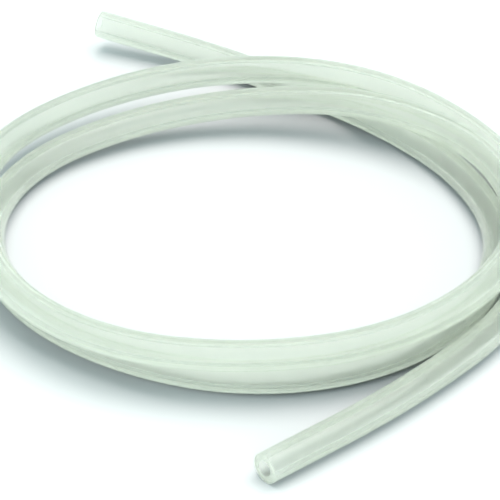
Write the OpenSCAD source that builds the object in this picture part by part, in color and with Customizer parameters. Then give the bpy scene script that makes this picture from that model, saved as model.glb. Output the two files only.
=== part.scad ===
// A loose coil of thick-walled laboratory silicone tubing, lying as it was put down on a bench.
// The tube is one extruded length. Its middle line follows a guide line with corners. A bend rounds
// each corner and takes half of the shorter leg beside it, and straight runs join the bends.
// The origin is on the bench, below the middle of the whole part, with +Z up. Sizes are in millimetres.

/* [Tube] */
// Diameter of the bore
bore_d = 6; // [3:0.5:10]
// Thickness of the wall
wall_t = 3; // [1:0.25:5]

/* [Coil] */
// Radius of a plain turn, at the middle of the tube
turn_r = 100; // [80:5:200]
// Clear space between turns that lie on each other
lay_gap = 0.4; // [0.3:0.1:1]

/* [Hidden] */

tube_d = bore_d + 2 * wall_t;

// One layer of tube on another, and the height of the lowest layer's middle line.
layer_rise = tube_d + lay_gap;
bench_z = tube_d / 2;

// The turns are centred here. The tails reach further to the back, so this is off the origin.
coil_x = -3;
coil_y = -6.3;

// The route runs clockwise, seen from above, from the far end to the near end.
// Each station is [out, lift]: how far outside a plain turn the corner lies, in tube diameters,
// and how far above the bench, in layers. The coil has a station every station_step degrees.
first_angle = 60;
station_step = 30;
COIL = [
  [0.55, 0], [0.10, 0], [0.20, 0], [0.15, 0], [0.10, 0], [-0.10, 0],
  [-0.25, 0], [0.15, 0], [0.70, 0], [0.70, 0], [-0.15, 0.25], [-0.50, 0.65],
  [-0.05, 1], [0.70, 1], [0.95, 0.8], [0.55, 0.95], [0.30, 1], [0.10, 1],
  [0.55, 1], [0.80, 0.9], [0.85, 1.05], [1.95, 0.5], [1.70, 0.6], [1.25, 1.05],
  [1.50, 0.95], [1.90, 0.25], [1.55, 0], [1.30, 0],
];

// The two free tails leave the coil. Their stations are [angle, out, lift].
FAR_TAIL = [[112.2, 6.3, 0.5], [94, 3.4, 0]];
NEAR_TAIL = [[-782, 1.8, 0], [-808, 4.25, 0]];

function corner(angle, out, lift) =
  let (r = turn_r + out * tube_d)
  [coil_x + r * cos(angle), coil_y + r * sin(angle), bench_z + lift * layer_rise];

CORNERS = concat(
  [for (s = FAR_TAIL) corner(s[0], s[1], s[2])],
  [for (i = [0 : len(COIL) - 1]) corner(first_angle - i * station_step, COIL[i][0], COIL[i][1])],
  [for (s = NEAR_TAIL) corner(s[0], s[1], s[2])]
);
last = len(CORNERS) - 1;

// The bends stand this much proud of the runs, which reach into them by the lap.
bend_proud = 0.03;
lap = 0.5;
// The bore runs out past each cut end by this much.
bore_past = 1;
// A bend keeps this share of half the shorter leg, so neighbouring bends never quite meet.
bend_share = 0.999;
bend_fn = 180;
$fn = 48;

function unit(v) = v / norm(v);
function leg(i) = CORNERS[i + 1] - CORNERS[i];
function turn(i) = acos(unit(leg(i - 1)) * unit(leg(i)));

// Length of leg that the bend at corner i takes on each side; the two ends have no bend.
function tangent(i) =
  i == 0 || i == last ? 0 : min(norm(leg(i - 1)), norm(leg(i))) / 2 * bend_share;

// Places its children in a frame given by three axes and an origin.
module in_frame(x, y, z, origin)
  multmatrix([
    [x[0], y[0], z[0], origin[0]],
    [x[1], y[1], z[1], origin[1]],
    [x[2], y[2], z[2], origin[2]],
    [0, 0, 0, 1]
  ])
    children();

// The bend at corner i: a part of a ring, tangent to both legs.
module bend(i, d) {
  before = unit(leg(i - 1));
  after = unit(leg(i));
  bend_r = tangent(i) / tan(turn(i) / 2);
  inward = unit(after - before * (before * after));
  start = CORNERS[i] - before * tangent(i);
  in_frame(-inward, before, cross(-inward, before), start + inward * bend_r)
    rotate_extrude(angle = turn(i), $fn = bend_fn)
      translate([bend_r, 0])
        circle(d = d);
}

// The straight run on leg i. At a cut end it reaches past the end by the given length.
module run(i, d, past) {
  along = unit(leg(i));
  from = i == 0 ? -past : tangent(i) - lap;
  to = norm(leg(i)) + (i == last - 1 ? past : lap - tangent(i + 1));
  side = unit(cross(along, [0, 0, 1]));
  in_frame(side, cross(along, side), along, CORNERS[i] + along * from)
    cylinder(d = d, h = to - from);
}

// A round bar of diameter d along the whole route.
module bar(d, past) {
  for (i = [1 : last - 1])
    bend(i, d + 2 * bend_proud);
  for (i = [0 : last - 1])
    run(i, d, past);
}

// The tube: the outer bar less the bore, with both ends cut square.
module tube()
  color([0.85, 0.90, 0.86])
    difference() {
      bar(tube_d, 0);
      bar(bore_d, bore_past);
    }

tube();
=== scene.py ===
"""The looks of a loose coil of milky silicone tubing, lying on a pale bench.

The tubing is one extruded length, so the scene holds one piece: a hollow tube swept along the route on
which it lies, with both cut ends open. The bench, the soft studio light and the camera are staging.
"""

import logging
import math
from dataclasses import dataclass, field
from typing import Any

import bpy
import numpy as np
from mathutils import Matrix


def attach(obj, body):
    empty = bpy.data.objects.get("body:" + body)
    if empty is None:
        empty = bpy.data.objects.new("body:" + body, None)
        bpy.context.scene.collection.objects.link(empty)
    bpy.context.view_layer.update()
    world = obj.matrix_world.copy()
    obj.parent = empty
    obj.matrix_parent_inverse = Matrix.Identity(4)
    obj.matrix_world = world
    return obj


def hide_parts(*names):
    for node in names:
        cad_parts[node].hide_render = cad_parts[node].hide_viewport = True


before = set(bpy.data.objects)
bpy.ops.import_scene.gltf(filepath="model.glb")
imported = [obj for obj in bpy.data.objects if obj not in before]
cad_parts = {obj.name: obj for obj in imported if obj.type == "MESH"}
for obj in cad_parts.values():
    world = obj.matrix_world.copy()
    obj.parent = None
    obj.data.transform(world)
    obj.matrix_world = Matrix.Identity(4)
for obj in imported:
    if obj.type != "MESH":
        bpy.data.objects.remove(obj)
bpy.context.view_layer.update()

log = logging.getLogger("tubing_coil")
# One millimetre, in metres.
MM = 0.001
# The tube's attribute that its patterns read.
DRAW = "draw"


def linear_colour(hex_code: str) -> tuple[float, float, float, float]:
    """Turns an sRGB hex colour into linear red, green, blue and alpha.

    Each channel c is c / 12.92 up to 0.04045, and ((c + 0.055) / 1.055) to the power 2.4 above it.

    Args:
        hex_code: The colour as "#rrggbb".

    Returns:
        The linear colour, with an alpha of 1.
    """
    srgb = np.array([int(hex_code[i : i + 2], 16) for i in (1, 3, 5)]) / 255
    linear = np.where(srgb <= 0.04045, srgb / 12.92, ((srgb + 0.055) / 1.055) ** 2.4)
    return (float(linear[0]), float(linear[1]), float(linear[2]), 1.0)


def add_node(tree: bpy.types.NodeTree, kind: str, settings: dict[str, Any] | None = None,
             **inputs: Any) -> bpy.types.Node:
    """Adds a node, with its settings and with its inputs linked or filled in.

    Args:
        tree: The node tree to add to.
        kind: The node's type, such as "ShaderNodeMix".
        settings: The node's own properties.
        inputs: Input sockets by name, with underscores for spaces, or by index as _0, _1 and so on. An
            output socket is linked, and anything else is set as the input's value.

    Returns:
        The new node.
    """
    node = tree.nodes.new(kind)
    for name, value in (settings or {}).items():
        setattr(node, name, value)
    for name, value in inputs.items():
        key = int(name[1:]) if name[1:].isdigit() else name.replace("_", " ")
        if isinstance(value, bpy.types.NodeSocket):
            tree.links.new(value, node.inputs[key])
        else:
            node.inputs[key].default_value = value
    return node


def new_material(name: str) -> tuple[bpy.types.Material, bpy.types.NodeTree, bpy.types.Node]:
    """Makes an empty node material.

    Args:
        name: The material's name.

    Returns:
        The material, its node tree and its output node.
    """
    material = bpy.data.materials.new(name)
    material.use_nodes = True
    tree = material.node_tree
    tree.nodes.clear()
    return material, tree, add_node(tree, "ShaderNodeOutputMaterial")


def seen_share(tree: bpy.types.NodeTree, kept: float | bpy.types.NodeSocket = 1.0) -> bpy.types.NodeSocket:
    """Tells rays that carry what the eye sees from rays that only carry light.

    It is 1 for camera rays, the kept share for reflections and for the view through clear rubber, and 0
    for all other rays.

    Args:
        tree: The node tree to add to.
        kept: The share for rays that were reflected or refracted.

    Returns:
        The output socket that holds the share.
    """
    ray = add_node(tree, "ShaderNodeLightPath").outputs
    shiny = add_node(tree, "ShaderNodeMath", {"operation": "MAXIMUM"},
                     _0=ray["Is Glossy Ray"], _1=ray["Is Transmission Ray"])
    passed_on = add_node(tree, "ShaderNodeMath", {"operation": "MULTIPLY"}, _0=shiny.outputs[0], _1=kept)
    seen = add_node(tree, "ShaderNodeMath", {"operation": "MAXIMUM"},
                    _0=ray["Is Camera Ray"], _1=passed_on.outputs[0])
    return seen.outputs[0]


@dataclass(frozen=True)
class MilkySilicone:
    """Silicone rubber, filled with fumed silica, extruded through a round die and cured.

    The filler scatters light in the wall, so the tube looks milky, and it takes a little blue and red, so
    more rubber looks more yellow-green. The smooth skin bends light enough for the bore to show as soft
    lines along the tube. The die draws faint lines of its own, and handling leaves patches of dull bloom.
    """

    skin: str = "#ffffff"
    ior: float = 1.41
    roughness: float = 0.19
    scatter_per_mm: float = 0.21
    # The rubber absorbs this much of each colour that the passed colour lacks.
    absorb_per_mm: float = 0.017
    passed: str = "#eaffc8"
    # Each die line is this wide, runs this far and is this deep.
    die_line: float = 1.2 * MM
    die_run: float = 45 * MM
    die_depth: float = 0.004 * MM
    die_detail: float = 2.0
    # The bloom's patches are this large, and spread the roughness by this much in all.
    bloom_patch: float = 14 * MM
    bloom_spread: float = 0.03
    bloom_detail: float = 3.0
    # Nearly all of a noise texture's values lie between these two.
    noise_low: float = 0.3
    noise_high: float = 0.7

    def material(self, tube_r: float) -> bpy.types.Material:
        """Makes the silicone's material.

        The patterns read the tube's own "draw" attribute, which holds the cosine and sine of the turn and
        the way along in tube radii, so they have no seam and run with the tube.

        Args:
            tube_r: The tube's outer radius, which is the unit of the attribute.

        Returns:
            The material.
        """
        silicone, tree, output = new_material("milky_silicone")
        draw = add_node(tree, "ShaderNodeAttribute", {"attribute_name": DRAW})
        squeezed = add_node(tree, "ShaderNodeVectorMath", {"operation": "MULTIPLY"},
                            _0=draw.outputs["Vector"], _1=(1, 1, self.die_line / self.die_run))
        lines = add_node(tree, "ShaderNodeTexNoise", Vector=squeezed.outputs["Vector"],
                         Scale=tube_r / self.die_line, Detail=self.die_detail)
        relief = add_node(tree, "ShaderNodeBump", Height=lines.outputs["Fac"], Distance=self.die_depth)
        bloom = add_node(tree, "ShaderNodeTexNoise", Vector=draw.outputs["Vector"],
                         Scale=tube_r / self.bloom_patch, Detail=self.bloom_detail)
        dull = add_node(tree, "ShaderNodeMapRange", Value=bloom.outputs["Fac"],
                        From_Min=self.noise_low, From_Max=self.noise_high,
                        To_Min=self.roughness - self.bloom_spread / 2,
                        To_Max=self.roughness + self.bloom_spread / 2)
        skin = add_node(tree, "ShaderNodeBsdfPrincipled", Base_Color=linear_colour(self.skin),
                        Roughness=dull.outputs["Result"], IOR=self.ior, Transmission_Weight=1.0,
                        Normal=relief.outputs["Normal"])
        scatter = add_node(tree, "ShaderNodeVolumeScatter", Color=(1, 1, 1, 1),
                           Density=self.scatter_per_mm / MM)
        absorb = add_node(tree, "ShaderNodeVolumeAbsorption", Color=linear_colour(self.passed),
                          Density=self.absorb_per_mm / MM)
        both = add_node(tree, "ShaderNodeAddShader", _0=scatter.outputs[0], _1=absorb.outputs[0])
        tree.links.new(skin.outputs[0], output.inputs["Surface"])
        tree.links.new(both.outputs[0], output.inputs["Volume"])
        return silicone


def straight_run(start: np.ndarray, end: np.ndarray, step: float) -> np.ndarray:
    """Points along a straight run, evenly spaced: start + share (end - start), for shares up to 1.

    Args:
        start: The run's first point, which is left out.
        end: The run's last point.
        step: The longest distance from one point to the next.

    Returns:
        The points, one row each.
    """
    steps = max(1, math.ceil(float(np.linalg.norm(end - start)) / step))
    return start + np.linspace(0, 1, steps + 1)[1:, None] * (end - start)


@dataclass(frozen=True)
class Route:
    """The middle line of the tubing, as it lies on the bench, in metres.

    A guide line runs from corner to corner, clockwise from the far end to the near end. A bend rounds each
    corner and takes half of the shorter leg beside it, and straight runs join the bends.
    """

    tube_d: float = 12 * MM
    turn_r: float = 100 * MM
    lay_gap: float = 0.4 * MM
    coil_middle: tuple[float, float] = (-3 * MM, -6.3 * MM)
    # Degrees, anticlockwise from +X as seen from above.
    first_angle: float = 60
    station_step: float = 30
    # Each station is (out, lift): how far outside a plain turn, in tube diameters, and how high, in layers.
    coil: tuple[tuple[float, float], ...] = (
        (0.55, 0), (0.10, 0), (0.20, 0), (0.15, 0), (0.10, 0), (-0.10, 0),
        (-0.25, 0), (0.15, 0), (0.70, 0), (0.70, 0), (-0.15, 0.25), (-0.50, 0.65),
        (-0.05, 1), (0.70, 1), (0.95, 0.8), (0.55, 0.95), (0.30, 1), (0.10, 1),
        (0.55, 1), (0.80, 0.9), (0.85, 1.05), (1.95, 0.5), (1.70, 0.6), (1.25, 1.05),
        (1.50, 0.95), (1.90, 0.25), (1.55, 0), (1.30, 0),
    )
    # The stations of the two free tails are (angle, out, lift).
    far_tail: tuple[tuple[float, float, float], ...] = ((112.2, 6.3, 0.5), (94, 3.4, 0))
    near_tail: tuple[tuple[float, float, float], ...] = ((-782, 1.8, 0), (-808, 4.25, 0))
    # A bend keeps this share of half the shorter leg, so that neighbouring bends never quite meet.
    bend_share: float = 0.999
    fewest_bend_steps: int = 4

    def corners(self) -> np.ndarray:
        """The corners of the guide line, one row of x, y and z each.

        A corner lies at its angle on a circle about the coil's middle, whose radius is the plain turn's
        plus out tube diameters, and its height is half a tube plus lift layers.

        Returns:
            The corners, from the far end to the near end.
        """
        angles = self.first_angle - self.station_step * np.arange(len(self.coil))
        turns = np.column_stack([angles, np.array(self.coil)])
        angle, out, lift = np.vstack([self.far_tail, turns, self.near_tail]).T
        radius = self.turn_r + out * self.tube_d
        height = self.tube_d / 2 + lift * (self.tube_d + self.lay_gap)
        x = self.coil_middle[0] + radius * np.cos(np.radians(angle))
        y = self.coil_middle[1] + radius * np.sin(np.radians(angle))
        return np.column_stack([x, y, height])

    def line(self, step: float) -> np.ndarray:
        """Points along the rounded route, at most one step apart.

        On a bend of radius r from a point s, where u is the way in and n the way to the bend's centre, the
        point after turning by q is s + r (1 - cos q) n + r sin q u.

        Args:
            step: The longest distance from one point to the next.

        Returns:
            The points, one row each, from the far end to the near end.
        """
        corner = self.corners()
        leg = np.diff(corner, axis=0)
        length = np.linalg.norm(leg, axis=1)
        along = leg / length[:, None]
        taken = np.zeros(len(corner))
        taken[1:-1] = np.minimum(length[:-1], length[1:]) / 2 * self.bend_share
        pieces = [corner[:1]]
        for i in range(1, len(corner) - 1):
            way_in, way_out = along[i - 1], along[i]
            turn = math.acos(float(way_in @ way_out))
            radius = taken[i] / math.tan(turn / 2)
            inward = way_out - way_in * float(way_in @ way_out)
            inward /= np.linalg.norm(inward)
            start = corner[i] - way_in * taken[i]
            pieces.append(straight_run(pieces[-1][-1], start, step))
            bend_steps = max(self.fewest_bend_steps, math.ceil(radius * turn / step))
            q = np.linspace(0, turn, bend_steps + 1)[1:, None]
            pieces.append(start + radius * (1 - np.cos(q)) * inward + radius * np.sin(q) * way_in)
        pieces.append(straight_run(pieces[-1][-1], corner[-1], step))
        return np.vstack(pieces)


@dataclass
class SiliconeTube:
    """The tubing: a hollow sweep along its route, cut square at both ends."""

    route: Route = field(default_factory=Route)
    finish: MilkySilicone = field(default_factory=MilkySilicone)
    bore_r: float = 3 * MM
    # Each edge of a cut is rounded by this much, in so many steps, and so many rows cross its flat face.
    cut_round: float = 0.25 * MM
    cut_steps: int = 4
    face_rows: int = 3
    # The rows of faces along the tube are this long, and each has this many faces round it.
    row_step: float = 2.2 * MM
    sides: int = 48

    @property
    def outer_r(self) -> float:
        """The tube's outer radius."""
        return self.route.tube_d / 2

    def profile(self, length: float) -> np.ndarray:
        """The closed outline of the wall, as distance along the tube and radius, one row per point.

        It runs along the outside to the near end, round that cut, back along the bore and round the far
        cut. A cut's edge is a quarter circle: e sin q along and e (1 - cos q) in, for q up to 90 degrees.

        Args:
            length: The tube's length along its middle line.

        Returns:
            The outline's points.
        """
        edge = self.cut_round
        rows = math.ceil(length / self.row_step)
        straight = np.linspace(edge, length - edge, rows)
        q = np.linspace(0, math.pi / 2, self.cut_steps + 1)[1:]
        along, inward = edge * np.sin(q), edge * (1 - np.cos(q))
        face = np.linspace(self.outer_r - edge, self.bore_r + edge, self.face_rows + 2)[1:-1]
        outside = np.column_stack([straight, np.full(rows, self.outer_r)])
        outer_edge = np.column_stack([length - edge + along, self.outer_r - inward])
        cut = np.column_stack([np.full(len(face), length), face])
        bore_edge = np.column_stack([length - edge + along, self.bore_r + inward])[::-1]
        half = np.vstack([outside, outer_edge, cut, bore_edge])
        back = np.column_stack([length - half[:, 0], self.outer_r + self.bore_r - half[:, 1]])
        return np.vstack([half, back])

    def surface(self) -> tuple[np.ndarray, np.ndarray]:
        """The tube's whole skin as one grid that closes both ways.

        The point at distance s, radius r and angle a is middle(s) + r (cos a side + sin a up), where side is
        level and square to the route and up is square to both.

        Returns:
            The grid's points, and for each the cosine and sine of its turn and its way along in tube radii.
        """
        line = self.route.line(self.row_step / 2)
        travelled = np.concatenate([[0], np.cumsum(np.linalg.norm(np.diff(line, axis=0), axis=1))])
        outline = self.profile(float(travelled[-1]))
        ahead = np.gradient(line, travelled, axis=0)
        middle = np.column_stack([np.interp(outline[:, 0], travelled, line[:, k]) for k in range(3)])
        way = np.column_stack([np.interp(outline[:, 0], travelled, ahead[:, k]) for k in range(3)])
        way /= np.linalg.norm(way, axis=1)[:, None]
        side = np.cross(way, (0, 0, 1))
        side /= np.linalg.norm(side, axis=1)[:, None]
        up = np.cross(side, way)
        angle = np.linspace(0, 2 * np.pi, self.sides, endpoint=False)
        ring = np.cos(angle)[None, :, None] * side[:, None] + np.sin(angle)[None, :, None] * up[:, None]
        points = middle[:, None] + outline[:, 1][:, None, None] * ring
        along, turn = np.meshgrid(outline[:, 0] / self.outer_r, angle, indexing="ij")
        return points, np.stack([np.cos(turn), np.sin(turn), along], axis=-1)

    def build(self) -> bpy.types.Object:
        """Makes the tube's object from its grid, with smooth faces and the attribute its finish reads.

        Returns:
            The tube's object.
        """
        points, draw = self.surface()
        rows, columns = points.shape[:2]
        row, column = np.meshgrid(np.arange(rows), np.arange(columns), indexing="ij")
        next_row, next_column = (row + 1) % rows, (column + 1) % columns
        quads = np.stack([
            row * columns + column, next_row * columns + column,
            next_row * columns + next_column, row * columns + next_column,
        ], axis=-1).reshape(-1, 4)
        mesh = bpy.data.meshes.new("silicone_tube")
        mesh.from_pydata(points.reshape(-1, 3), [], quads)
        mesh.shade_smooth()
        attribute = mesh.attributes.new(DRAW, "FLOAT_VECTOR", "POINT")
        attribute.data.foreach_set("vector", draw.astype(np.float32).ravel())
        piece = bpy.data.objects.new("silicone_tube", mesh)
        bpy.context.scene.collection.objects.link(piece)
        piece.data.materials.append(self.finish.material(self.outer_r))
        return piece

    def place(self) -> bpy.types.Object:
        """Returns:
            The tube's object.
        """
        piece = self.build()
        path = self.route.line(self.route.tube_d / 2)
        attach(piece, "root")
        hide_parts("tube")
        return piece


@dataclass
class Bench:
    """The pale bench top, which stays white to the camera and still takes the tube's shadow."""

    # The side of the square, in metres.
    size: float = 6.0
    colour: str = "#f6f9f9"
    # What is seen of the bench is this much brighter than the light it casts.
    seen_gain: float = 1.8

    def build(self) -> bpy.types.Object:
        """Makes the bench top as one plane at the height on which the tube lies.

        Returns:
            The bench's object.
        """
        half = self.size / 2
        mesh = bpy.data.meshes.new("bench_top")
        mesh.from_pydata([(-half, -half, 0), (half, -half, 0), (half, half, 0), (-half, half, 0)],
                         [], [(0, 1, 2, 3)])
        bench = bpy.data.objects.new("bench_top", mesh)
        bpy.context.scene.collection.objects.link(bench)
        mesh.materials.append(self.material())
        return bench

    def material(self) -> bpy.types.Material:
        """Makes white laminate, pressed against a matt plate, so it spreads light evenly with no shine.

        It is brightened where it is seen, so that it reads as white. The camera sees it so, and so do
        reflections and the view through clear rubber.

        Returns:
            The laminate's material.
        """
        laminate, tree, output = new_material("white_laminate")
        plain = linear_colour(self.colour)
        bright = tuple(c * self.seen_gain for c in plain[:3]) + (1.0,)
        colour = add_node(tree, "ShaderNodeMix", {"data_type": "RGBA", "clamp_result": False},
                          Factor=seen_share(tree), A=plain, B=bright)
        matt = add_node(tree, "ShaderNodeBsdfDiffuse", Color=colour.outputs["Result"])
        tree.links.new(matt.outputs[0], output.inputs["Surface"])
        return laminate


@dataclass(frozen=True)
class Softbox:
    """A softbox that faces the coil: a flat panel, so many metres wide, high and away."""

    name: str
    way: tuple[float, float, float]
    watts: float
    width: float = 1.2
    height: float = 0.3
    distance: float = 1.2
    colour: str = "#eef9f4"

    def build(self, target: tuple[float, float, float]) -> bpy.types.Object:
        """Adds the softbox, leant over by the angle of its way from upright and turned to face back.

        Args:
            target: The point it faces. The softbox stands its distance from there, in the direction way.

        Returns:
            The softbox's lamp.
        """
        data = bpy.data.lights.new(self.name, "AREA")
        data.shape = "RECTANGLE"
        data.size = self.width
        data.size_y = self.height
        data.energy = self.watts
        data.color = linear_colour(self.colour)[:3]
        lamp = bpy.data.objects.new(self.name, data)
        way = np.array(self.way) / np.linalg.norm(self.way)
        lamp.location = (np.array(target) + way * self.distance).tolist()
        lamp.rotation_euler = (math.acos(way[2]), 0.0, math.atan2(way[0], -way[1]))
        bpy.context.scene.collection.objects.link(lamp)
        return lamp


@dataclass
class Studio:
    """Soft light from overhead, low strips on all four sides, and a camera that looks down."""

    # The camera stands this many metres from its target and this many degrees above the bench.
    target: tuple[float, float, float] = (-3 * MM, -6.3 * MM, 0.0)
    camera_distance: float = 1.2354
    camera_elevation: float = 33.55
    focal_mm: float = 222.2
    sensor_mm: float = 36.0
    nearest_seen: float = 0.01
    furthest_seen: float = 50.0
    sky_colour: str = "#daf0f0"
    sky_strength: float = 0.44
    softboxes: tuple[Softbox, ...] = (
        Softbox("key_softbox", (0.1, 0.15, 1.0), 8.2, width=1.4, height=1.4, distance=1.4,
                colour="#fff3f1"),
        Softbox("front_strip", (0.0, -1.0, 0.14), 3.0),
        Softbox("back_strip", (0.4, 1.0, 0.3), 2.4),
        Softbox("left_strip", (-1.0, -0.3, 0.14), 2.2, width=1.0),
        Softbox("right_strip", (1.0, -0.3, 0.14), 4.0, width=1.0),
    )
    wall_bounces: int = 32
    bench_bounces: int = 8
    # Two counts of bounces are the same when they differ by less than this.
    same_count: float = 0.5

    def camera(self) -> bpy.types.Object:
        """Adds the camera, which looks at the coil's middle from the front.

        Returns:
            The camera's object.
        """
        data = bpy.data.cameras.new("camera")
        data.sensor_width = self.sensor_mm
        data.lens = self.focal_mm
        data.clip_start = self.nearest_seen
        data.clip_end = self.furthest_seen
        camera = bpy.data.objects.new("camera", data)
        tilt = math.radians(self.camera_elevation)
        offset = (0.0, -self.camera_distance * math.cos(tilt), self.camera_distance * math.sin(tilt))
        camera.location = [t + o for t, o in zip(self.target, offset)]
        camera.rotation_euler = (math.pi / 2 - tilt, 0.0, 0.0)
        bpy.context.scene.collection.objects.link(camera)
        bpy.context.scene.camera = camera
        return camera

    def sky(self) -> None:
        """Sets the surround: soft cool light all round, and plain white wherever it is seen.

        It is seen by the camera, and in reflections and through clear rubber as long as nothing has
        scattered the ray, which is when each of its bounces was a reflection or a refraction.
        """
        world = bpy.data.worlds.new("studio_surround")
        world.use_nodes = True
        tree = world.node_tree
        tree.nodes.clear()
        ray = add_node(tree, "ShaderNodeLightPath").outputs
        clear = add_node(tree, "ShaderNodeMath", {"operation": "ADD"},
                         _0=ray["Glossy Depth"], _1=ray["Transmission Depth"])
        unscattered = add_node(tree, "ShaderNodeMath", {"operation": "COMPARE"},
                               _0=ray["Ray Depth"], _1=clear.outputs[0], _2=self.same_count)
        light = tuple(c * self.sky_strength for c in linear_colour(self.sky_colour)[:3]) + (1.0,)
        colour = add_node(tree, "ShaderNodeMix", {"data_type": "RGBA"},
                          Factor=seen_share(tree, unscattered.outputs[0]), A=light, B=(1, 1, 1, 1))
        surround = add_node(tree, "ShaderNodeBackground", Color=colour.outputs["Result"])
        output = add_node(tree, "ShaderNodeOutputWorld")
        tree.links.new(surround.outputs[0], output.inputs["Surface"])
        bpy.context.scene.world = world

    def light_paths(self) -> None:
        """Lets light wander in the milky wall.

        Scattered light needs many bounces in the wall, and blurring its glossy paths would lose about half
        of it. Light focused on to the bench through the tube is left out, so the tube casts a full shadow.
        """
        cycles = bpy.context.scene.cycles
        for kind in ("max", "transmission", "glossy", "volume"):
            setattr(cycles, f"{kind}_bounces", self.wall_bounces)
        cycles.diffuse_bounces = self.bench_bounces
        cycles.blur_glossy = 0.0
        cycles.caustics_refractive = False

    def build(self) -> None:
        """Adds the camera, the softboxes and the surround, and sets the light paths and plain colour."""
        self.camera()
        for softbox in self.softboxes:
            softbox.build(self.target)
        self.sky()
        self.light_paths()
        bpy.context.scene.view_settings.view_transform = "Standard"


def main() -> None:
    """Builds the studio, the tube and the bench in order."""
    logging.basicConfig(level=logging.INFO, format="%(name)s: %(message)s")
    Studio().build()
    for piece in (SiliconeTube().place(), Bench().build()):
        log.info("%s: %d faces", piece.name, len(piece.data.polygons))


if __name__ == "__main__":
    main()
